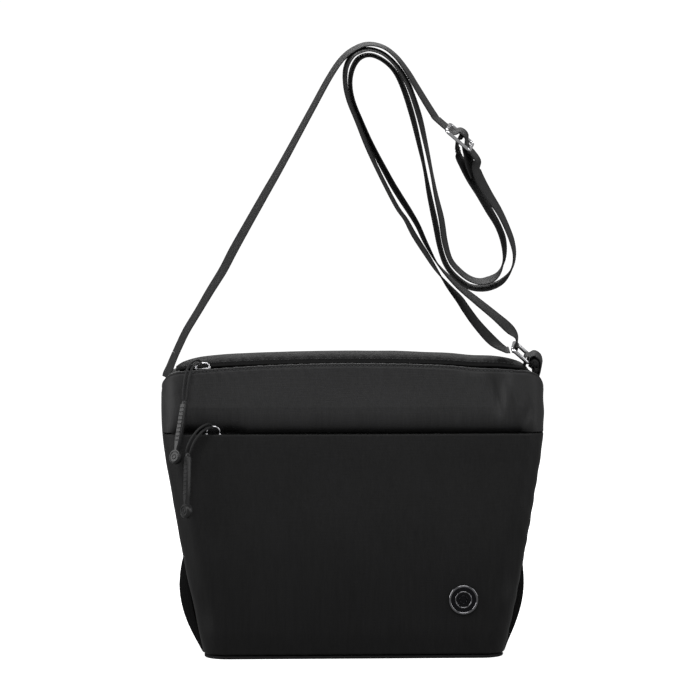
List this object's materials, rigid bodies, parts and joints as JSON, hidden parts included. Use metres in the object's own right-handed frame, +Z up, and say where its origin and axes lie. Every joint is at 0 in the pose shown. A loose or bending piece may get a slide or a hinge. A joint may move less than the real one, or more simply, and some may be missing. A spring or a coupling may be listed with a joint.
{
  "type": "sling bag",
  "caption": "Soft fabric crossbody bag with a zipped top, a zipped front pocket, corded zip pulls, a round badge and an adjustable webbing strap held by a metal slider and ring.",
  "frame": {"origin": "centre of the flat base, on the ground", "axes": "+Z up towards the strap, +X towards the bag's right as seen from the front, -Y out of the front pocket"},
  "size_m": [0.2698, 0.1193, 0.4258],
  "materials": {
    "shell": "woven nylon, semi-matt",
    "dark": "ribbed dark fabric, matt",
    "lining": "thin woven lining",
    "board": "matt",
    "webbing": "ribbed webbing, matt",
    "tape": "woven tape, matt",
    "coil": "satin",
    "cord": "braided cord, matt",
    "rubber": "soft matt",
    "chrome": "polished",
    "gunmetal": "dark polished"
  },
  "bodies": {
    "bag": {"front_upper_panel": "shell", "front_pocket_panel": "shell", "back_panel": "shell", "left_side_gusset": "shell", "right_side_gusset": "shell", "left_corner_gusset": "dark", "right_corner_gusset": "dark", "bottom_panel": "dark", "base_board": "board", "pocket_back_wall": "shell", "pocket_lining": "lining", "main_lining": "lining", "top_facing": "shell", "main_zip_coil_front": "coil", "main_zip_coil_back": "coil", "main_zip_tape_front": "tape", "main_zip_tape_back": "tape", "main_zip_stop_left": "chrome", "main_zip_stop_right": "chrome", "pocket_zip_coil_front": "coil", "pocket_zip_coil_back": "coil", "pocket_zip_tape_front": "tape", "pocket_zip_tape_back": "tape", "pocket_zip_stop_left": "chrome", "pocket_zip_stop_right": "chrome", "badge": "gunmetal", "badge_washer": "chrome", "strap_sewn_end": "webbing", "ring_tab": "webbing"},
    "main_zip_slider": {"main_slider": "chrome", "main_slider_bail": "chrome"},
    "main_pull": {"main_pull_cord": "cord", "main_puller": "rubber"},
    "pocket_zip_slider": {"pocket_slider": "chrome", "pocket_slider_bail": "chrome"},
    "pocket_pull": {"pocket_pull_cord": "cord", "pocket_puller": "rubber"},
    "strap": {"strap_long_run": "webbing", "strap_adjuster_bend": "webbing", "strap_outer_layer": "webbing", "strap_inner_layer": "webbing", "adjuster_slider": "chrome", "strap_ring": "chrome"}
  },
  "joints": [
    {"name": "main_zip_slide", "type": "hinge", "parent": "bag", "child": "main_zip_slider", "pos_m": [0, -0.0157, -1.11313], "axis": [0, 1, 0], "range_deg": [0, 9.05]},
    {"name": "main_pull_swing", "type": "hinge", "parent": "main_zip_slider", "child": "main_pull", "pos_m": [-0.10446, -0.0157, 0.20211], "axis": [1, 0, 0], "range_deg": [-100, 0]},
    {"name": "pocket_zip_slide", "type": "slide", "parent": "bag", "child": "pocket_zip_slider", "axis": [1, 0, 0], "range_m": [0, 0.165]},
    {"name": "pocket_pull_swing", "type": "hinge", "parent": "pocket_zip_slider", "child": "pocket_pull", "pos_m": [-0.097, -0.03743, 0.15945], "axis": [1, 0, 0], "range_deg": [-70, 0]},
    {"name": "strap_swing", "type": "hinge", "parent": "bag", "child": "strap", "pos_m": [0.1243, 0.001, 0.2033], "axis": [0.9994, 0.004, 0.0351], "range_deg": [-30, 10], "deforming": ["strap_sewn_end", "ring_tab"]}
  ]
}
